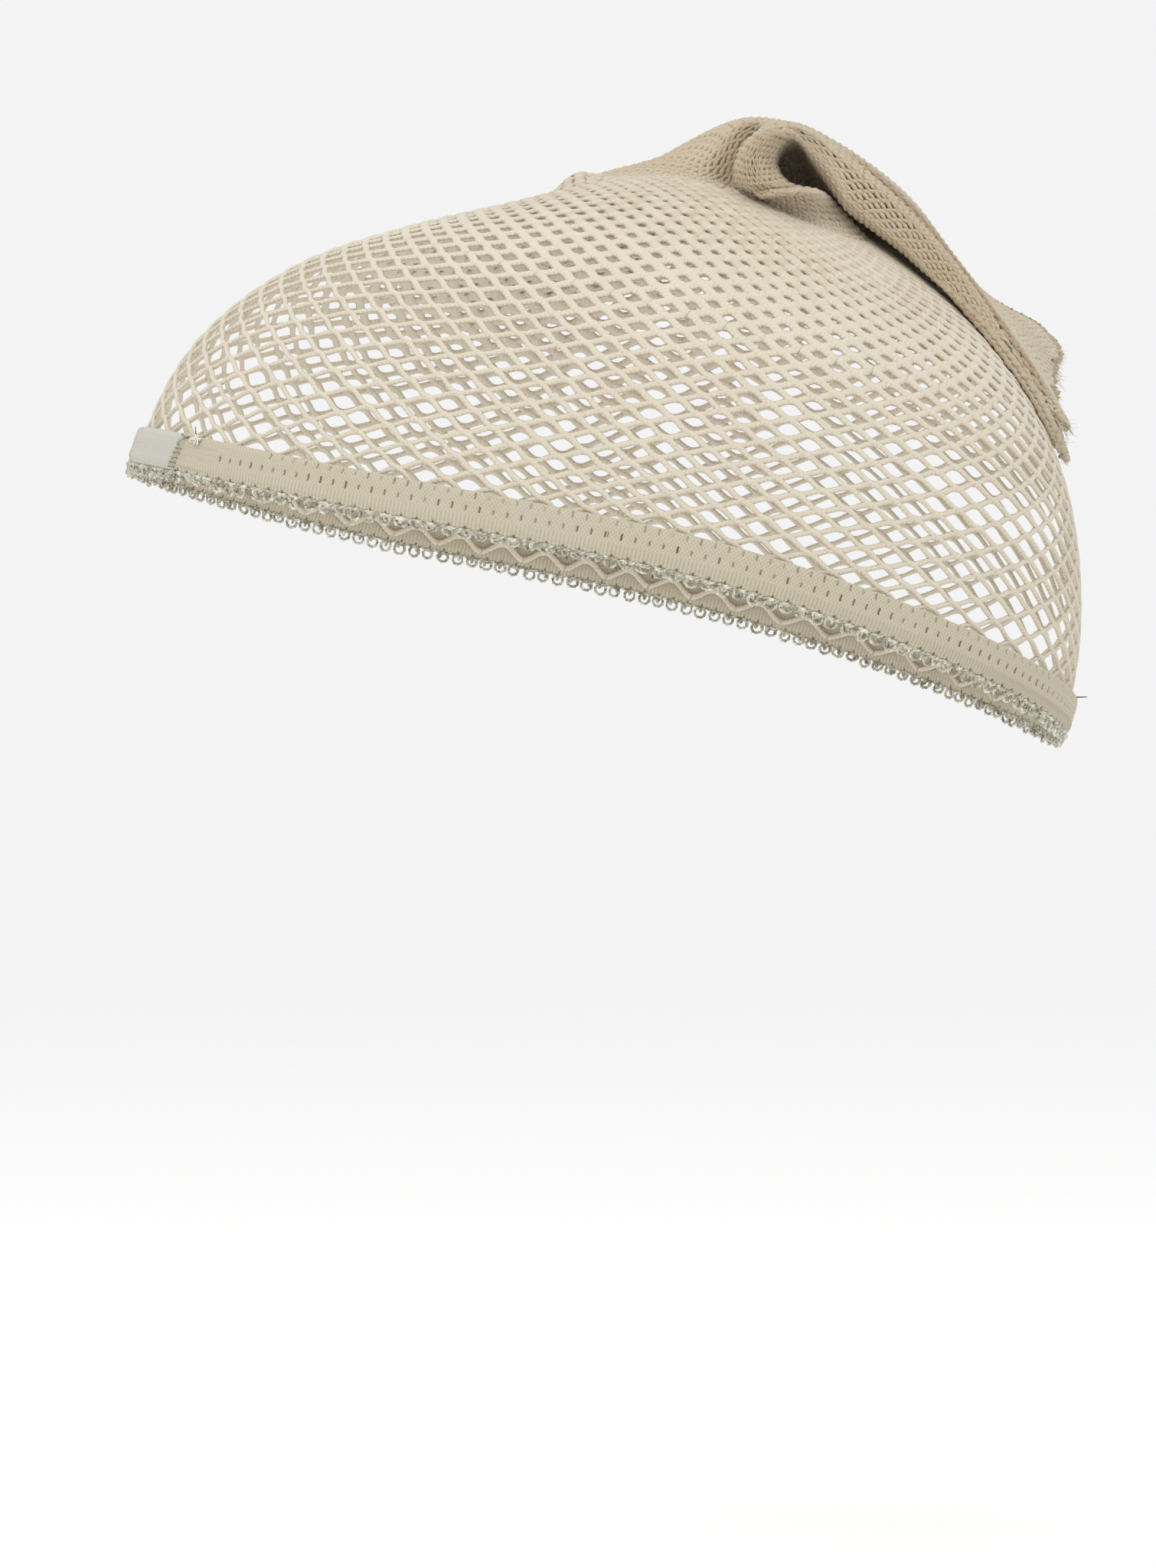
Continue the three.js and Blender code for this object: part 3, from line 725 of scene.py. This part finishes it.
def makeStitches():  # over the edge of the lap
    t, w = smallThreads, bandWeave
    n = t["stitches"]
    top = w["gap"] + w["thickness"] + w["lapThickness"] + 0.1
    heights = (np.linspace(3.1, -3.3, n) + rng.normal(0, 0.22, n))[:, None]
    step = np.linspace(-0.5, 0.5, 9)[None]
    lean = rng.normal(0.6, 0.6, (n, 1))
    size = t["stitchLength"] * (1 + rng.normal(0, 0.3, (n, 1)))
    outward = top - w["lapThickness"] * ease(step + 0.5) - 0.6 * np.abs(2 * step) ** 6
    centre = alongRing(seamRun(heights) + step * size, heights + lean * step * size, outward)
    radius = np.full(centre.shape[:2], t["stitchRadius"])
    return threadPiece("lap_stitches", centre, radius, 6, "elastic_band")


def makeKnot():  # pale thread at the upper edge
    t, w = smallThreads, bandWeave
    a = np.linspace(0, 9 * math.pi, 110)[None]
    wide, high, deep = t["knotSize"]
    run = seamRun(3) + t["knotRun"] + wide * np.sin(a) * np.cos(a * 0.23)
    height = t["knotHeight"] + high * np.cos(a * 1.31 + 0.5) * np.cos(a * 0.17)
    outward = w["gap"] + w["thickness"] + 0.25 + deep * np.sin(a * 0.77 + 1)
    centre = alongRing(run, height, outward)
    radius = np.full(centre.shape[:2], t["knotRadius"])
    return threadPiece("thread_knot", centre, radius, 6, "elastic_band")


def makeEnds():  # dark ends: one above the band, one low at the back, one in the gap of the picots
    u = np.linspace(0, 1, 9)
    ends = (
        (seamRun(3) + 3.6 - 1.1 * u, 3.3 + 2.3 * u, 1.3 + 0.5 * np.sin(u * 2)),
        (runAt(82) + 0.5 * u, 3.7 + 0.9 * u, 0.6 + 2.4 * u),
        (seamRun(-3) + 0.8 + 1.4 * u, -3.6 - 1.7 * u, 1.3 + 0.3 * u),
    )
    centre = np.stack([alongRing(*end) for end in ends])
    radius = smallThreads["endRadius"] * (1 - 0.5 * u)[None] * np.ones((len(ends), 1))
    return threadPiece("thread_ends", centre, radius, 6, "elastic_band")


def makeFray():
    t = smallThreads
    n = t["fibres"]
    place = rng.random((n, 1))
    u = np.linspace(0, 1, 6)[None]
    start = climb[-1] - chainKnit["looseEnd"] * rng.uniform(0.2, 1.4, (n, 1))
    end = np.full_like(start, climb[-1])
    root = sample(lines, place, start)
    ahead = unit(sample(lines, place, end) - sample(lines, place, end - 4))
    outward = unit(sample(normals, place, start))
    side = np.cross(ahead, outward)
    size = t["fibreLength"] * rng.uniform(0.3, 1.0, (n, 1, 1))
    bendSide = rng.normal(0, 0.6, (n, 1, 1))
    bendOut = rng.normal(0.1, 0.35, (n, 1, 1))
    v = u[..., None]
    centre = root + (ahead * v + side * bendSide * v ** 1.6 + outward * (bendOut * v ** 2 - 0.3)) * size
    radius = t["fibreRadius"] * (1.2 - 0.8 * u) * np.ones((n, 1))
    return threadPiece("frayed_end", centre, radius, 4, "net_cap")


seamStitches = makeStitches()
threadKnot = makeKnot()
threadEnds = makeEnds()
frayedEnd = makeFray()


def declareCloth():
    holds = {
        netLower: ("stretched", [], []),
        netUpper: ("stretched", [netLower], []),
        netNeck: ("gathered", [netUpper], []),
        netTail: ("draped", [netUpper], [frayedEnd]),
    }
    for piece, (held, under, added) in holds.items():
        cut = netCuts[piece.name]
        print("%s flat, its cords side by side: %.3f by %.3f m" % (piece.name, *cut))
    lapLength = runAt(bandWeave["lapEnd"]) - runAt(bandWeave["lapStart"])
    cut = (ringLength + lapLength) * mm
    width = capForm["bandHeight"] * mm
    print("band flat: %.3f by %.4f m" % (cut, width))
    cut * width


declareCloth()


# Materials
class Link:  # a socket that takes part in sums
    def __init__(self, nodes, socket):
        self.nodes, self.socket = nodes, socket

    def maths(self, operation, *values):
        return self.nodes.node("ShaderNodeMath", {"operation": operation}, *values)

    def __add__(self, other):
        return self.maths("ADD", self, other)

    def __radd__(self, other):
        return self.maths("ADD", other, self)

    def __sub__(self, other):
        return self.maths("SUBTRACT", self, other)

    def __rsub__(self, other):
        return self.maths("SUBTRACT", other, self)

    def __mul__(self, other):
        return self.maths("MULTIPLY", self, other)

    def __rmul__(self, other):
        return self.maths("MULTIPLY", other, self)

    def __truediv__(self, other):
        return self.maths("DIVIDE", self, other)

    def __abs__(self):
        return self.maths("ABSOLUTE", self)

    def __gt__(self, other):
        return self.maths("GREATER_THAN", self, other)

    def __lt__(self, other):
        return self.maths("LESS_THAN", self, other)


class Finish:  # one material and its nodes
    def __init__(self, name):
        self.material = bpy.data.materials.new(name)
        self.material.use_nodes = True
        self.tree = self.material.node_tree
        self.shader = self.tree.nodes["Principled BSDF"]

    def node(self, kind, settings=None, *values, output=0, **named):
        n = self.tree.nodes.new(kind)
        for key, value in (settings or {}).items():
            setattr(n, key, value)
        for key, value in list(enumerate(values)) + list(named.items()):
            self.put(n.inputs[key.replace("_", " ") if isinstance(key, str) else key], value)
        return Link(self, n.outputs[output])

    def put(self, socket, value):
        if isinstance(value, Link):
            self.tree.links.new(value.socket, socket)
        elif isinstance(value, (tuple, list)) and len(value) == 3 and socket.type == "RGBA":
            socket.default_value = (*value, 1)
        else:
            socket.default_value = value

    def sine(self, value):
        return self.node("ShaderNodeMath", {"operation": "SINE"}, value)

    def fraction(self, value):
        return self.node("ShaderNodeMath", {"operation": "FRACT"}, value)

    def positive(self, value):
        return self.node("ShaderNodeMath", {"operation": "MAXIMUM"}, value, 0.0)

    def attribute(self, name):
        return self.node("ShaderNodeAttribute", {"attribute_name": name}, output=2)

    def noise(self, scale, detail, **named):
        place = self.node("ShaderNodeTexCoord", output=3)
        return self.node("ShaderNodeTexNoise", None, Vector=place, Scale=scale, Detail=detail, **named)

    def bump(self, distance, height, strength=0.5):
        return self.node("ShaderNodeBump", None, Strength=strength, Distance=distance, Height=height)

    def mixColour(self, factor, a, b):
        n = self.tree.nodes.new("ShaderNodeMix")
        n.data_type = "RGBA"
        self.put(n.inputs[0], factor)
        self.put(n.inputs[6], a)
        self.put(n.inputs[7], b)
        return Link(self, n.outputs[2])

    def threadPlace(self):  # mm along, and share around or mm up
        uv = self.node("ShaderNodeUVMap", {"uv_map": "UVMap"})
        outs = self.node("ShaderNodeSeparateXYZ", None, uv).socket.node.outputs
        return Link(self, outs[0]), Link(self, outs[1])

    def cover(self, *pieces, **values):
        for key, value in values.items():
            self.put(self.shader.inputs[key.replace("_", " ")], value)
        for piece in pieces:
            piece.data.materials.clear()
            piece.data.materials.append(self.material)


fullTurn = 2 * math.pi
# Net colours: the slack colour is darker and yellower as painted shade between loose loops; shade, the
# inner-side colour, gap and edge are painted shade colours; pale is a random lighter tone
netFinish = dict(
    stretched=(0.775, 0.725, 0.605), slackAndShade=(0.56, 0.465, 0.325), shade=(0.42, 0.335, 0.22),
    pale=(0.80, 0.755, 0.64), innerShadeColour=(0.36, 0.26, 0.15), gap=(0.34, 0.245, 0.135), edge=(0.52, 0.39, 0.25),
    inner=0.45, outline=0.65, stitch=0.95, roughness=0.92, specular=0.2, fuzz=2600.0, patches=55.0,
)


def netMaterial():
    s = Finish("knitted_net")
    f = netFinish
    along, around = s.threadPlace()
    wave = s.sine((along / f["stitch"] + around) * fullTurn)
    counter = s.sine((along / f["stitch"] - around) * fullTurn)
    knit = (wave * 0.5 + 0.5) * (counter * 0.5 + 0.5)
    slackAndShade = s.attribute("slackAndShade")
    fuzz = s.noise(f["fuzz"], 3.0, Roughness=0.7)
    patches = s.noise(f["patches"], 2.0)
    facing = s.sine(around * fullTurn)
    innerSide = s.positive(facing * -1)
    shadedFlank = s.positive(1 - abs(facing - 0.1) * 2.4)
    # slack net gets the darker, yellower colour: painted shade between its loose loops
    tone = s.mixColour(slackAndShade, f["stretched"], f["slackAndShade"])
    tone = s.mixColour(0.42 - knit * 0.35 - (fuzz - 0.5) * 0.6, tone, f["shade"])
    # painted shade along the flanks of each cord, in the edge colour
    tone = s.mixColour(shadedFlank * f["outline"], tone, f["edge"])
    # painted shade on the inner side of the cords, stronger where the net is slack
    tone = s.mixColour(innerSide * slackAndShade * f["inner"], tone, f["innerShadeColour"])
    # painted shade from the gap attribute: in the small gaps between cords and in the hollows and crease of
    # the tail
    tone = s.mixColour(s.attribute("gap"), tone, f["gap"])
    tone = s.mixColour((patches - 0.35) * 0.45, tone, f["pale"])
    bump = s.bump(0.00025, knit * 0.7 + fuzz * 0.8, 0.6)
    s.cover(*netPieces, Base_Color=tone, Roughness=f["roughness"], Normal=bump, Sheen_Weight=0.3,
            Sheen_Roughness=0.5, Specular_IOR_Level=f["specular"])


netMaterial()

# Band colours: groove and eyelet are painted shade colours; lap is the lap's own greyer colour and worn a
# random tone
bandFinish = dict(
    colour=(0.57, 0.512, 0.392), grooveShade=(0.33, 0.29, 0.205), eyeletShade=(0.12, 0.095, 0.06),
    lap=(0.55, 0.54, 0.475), worn=(0.525, 0.50, 0.40), lapLines=0.45, low=-1.25,
    roughness=0.85, specular=0.25, fibre=3000.0, clouds=40.0,
)


def bandMaterial():
    s = Finish("woven_elastic")
    f, w = bandFinish, bandWeave
    along, height = s.threadPlace()
    fibre = s.noise(f["fibre"], 2.0)
    cloud = s.noise(f["clouds"], 2.0)
    wales = s.sine(along * (fullTurn / w["wale"]))
    rows = s.sine(height * (fullTurn / w["course"]) + cloud * 2.0)
    low = (height < f["low"]) * 1.0
    knit = (wales * rows * 0.5 + 0.5) * (1 - low) + (wales * 0.5 + 0.5) * low
    # painted shade in the grooves of the weave, with random fibre tone
    colour = s.mixColour((1 - knit) * 0.55 + (fibre - 0.5) * 0.5, f["colour"], f["grooveShade"])
    start, end = float(runAt(w["lapStart"])), float(runAt(w["lapEnd"]))
    # painted shade in the eyelet dents, fainter in the upper row and random per eyelet
    for k, (row, darkness) in enumerate(zip(w["eyeletRows"], (0.15, 0.5))):
        cell = along / w["eyeletPitch"] + 0.5 * k
        across = abs(s.fraction(cell) - 0.5) * w["eyeletPitch"]
        whole = s.node("ShaderNodeMath", {"operation": "FLOOR"}, cell + 57.3 * k)
        chance = s.node("ShaderNodeTexWhiteNoise", {"noise_dimensions": "1D"}, W=whole)
        there = 1 - (along > end) * (along < end + w["plainFor"][k])
        spot = (across < 0.2) * (abs(height - row) < 0.4 + 0.3 * chance) * there
        colour = s.mixColour(spot * (chance * 0.5 + darkness), colour, f["eyeletShade"])
    # painted shade in the stitch dents above the picots, in the eyelet shade colour
    tick = (abs(s.fraction(along / picotPitch) - 0.5) * picotPitch < 0.22) * (height < -3.1)
    colour = s.mixColour(tick * 0.8, colour, f["eyeletShade"])
    slant = float(runAt(w["lapEnd"] + w["lapSlant"])) - end
    lap = (along > start) * (along < height * slant + end)
    # painted shade in the lines of the lap's ribs
    lapLines = s.sine(height * (fullTurn / f["lapLines"]) + cloud * 3.0)
    lapTone = s.mixColour((lapLines * 0.5 + 0.5) * 0.3 + (fibre - 0.5) * 0.3, f["lap"], f["grooveShade"])
    colour = s.mixColour(lap, colour, lapTone)
    colour = s.mixColour((cloud - 0.4) * 0.5, colour, f["worn"])
    bump = s.bump(0.0002, knit * 0.8 + fibre * 0.5)
    s.cover(band, Base_Color=colour, Roughness=f["roughness"], Normal=bump, Sheen_Weight=0.15,
            Specular_IOR_Level=f["specular"])


bandMaterial()

# The picot yarn's colour runs in random clouds between dark and light: the light parts are painted glints and
# the dark parts painted shade, over the yarn's uneven tone
yarnFinish = dict(
    dark=(0.26, 0.235, 0.155), light=(0.86, 0.84, 0.72), roughness=0.25, specular=0.9, clouds=900.0,
)


def yarnMaterial():
    s = Finish("picot_yarn")
    f = yarnFinish
    along, around = s.threadPlace()
    fibre = s.sine((along * 6 + around * 2) * fullTurn)
    cloud = s.noise(f["clouds"], 3.0)
    # painted glints and painted shade in random clouds
    colour = s.mixColour(cloud * 3.0 - 1.0, f["dark"], f["light"])
    bump = s.bump(0.00012, fibre * 0.5 + cloud)
    s.cover(*picotPieces, Base_Color=colour, Roughness=f["roughness"], Normal=bump,
            Specular_IOR_Level=f["specular"])


yarnMaterial()


def threadMaterial(name, piece, dark, light):
    s = Finish(name)
    along, around = s.threadPlace()
    strand = s.sine((along * 2 + around) * fullTurn)
    cloud = s.noise(700.0, 2.0)
    colour = s.mixColour(cloud * 1.6 - 0.4 + strand * 0.12, dark, light)
    s.cover(piece, Base_Color=colour, Roughness=0.7, Normal=s.bump(0.0001, strand * 0.5 + cloud))


threadMaterial("seam_thread", seamStitches, (0.15, 0.10, 0.055), (0.42, 0.38, 0.26))
threadMaterial("pale_thread", threadKnot, (0.70, 0.68, 0.62), (0.88, 0.87, 0.82))
threadMaterial("dark_thread", threadEnds, (0.05, 0.04, 0.025), (0.16, 0.13, 0.08))
threadMaterial("loose_fibre", frayedEnd, (0.52, 0.44, 0.31), (0.74, 0.68, 0.54))
print("materials done")

# Floor, light and camera, in metres
studio = dict(
    floorSize=14, floorHeight=-0.215, floorColour=(0.998, 0.998, 0.995), sky=0.9, aim=(0, 0, 0.03),
    lamps=(("key", (1.0, -0.25, 1.2), 0.8, 7), ("top", (-0.1, 0.1, 1.6), 1.0, 3)),  # name, place, size, power
    cameraPlace=(1.2, -0.0056, -0.041), sensor=36, frameWidth=0.3195,
)


def addObject(name, data, place):
    item = bpy.data.objects.new(name, data)
    bpy.context.scene.collection.objects.link(item)
    item.location = place
    return item


def makeStudio():
    s = studio
    bpy.ops.mesh.primitive_plane_add(size=s["floorSize"], location=(0, 0, s["floorHeight"]))
    floor = bpy.context.object
    floor.name = "floor"
    Finish("pale_floor").cover(floor, Base_Color=s["floorColour"], Roughness=0.9)
    world = bpy.data.worlds.new("studio")
    bpy.context.scene.world = world
    world.use_nodes = True
    sky = world.node_tree.nodes["Background"].inputs
    sky[0].default_value = (1, 1, 1, 1)
    sky[1].default_value = s["sky"]
    for name, place, size, power in s["lamps"]:
        data = bpy.data.lights.new(name, "AREA")
        data.size = size
        data.energy = power
        lamp = addObject(name, data, place)
        lamp.rotation_euler = (Vector(s["aim"]) - Vector(place)).to_track_quat("-Z", "Y").to_euler()
    data = bpy.data.cameras.new("camera")
    data.sensor_width = s["sensor"]
    data.lens = s["sensor"] * s["cameraPlace"][0] / s["frameWidth"]
    camera = addObject("camera", data, s["cameraPlace"])
    camera.rotation_euler = (math.pi / 2, 0, math.pi / 2)
    bpy.context.scene.camera = camera
    bpy.context.scene.view_settings.view_transform = "Standard"


makeStudio()
print("studio done")
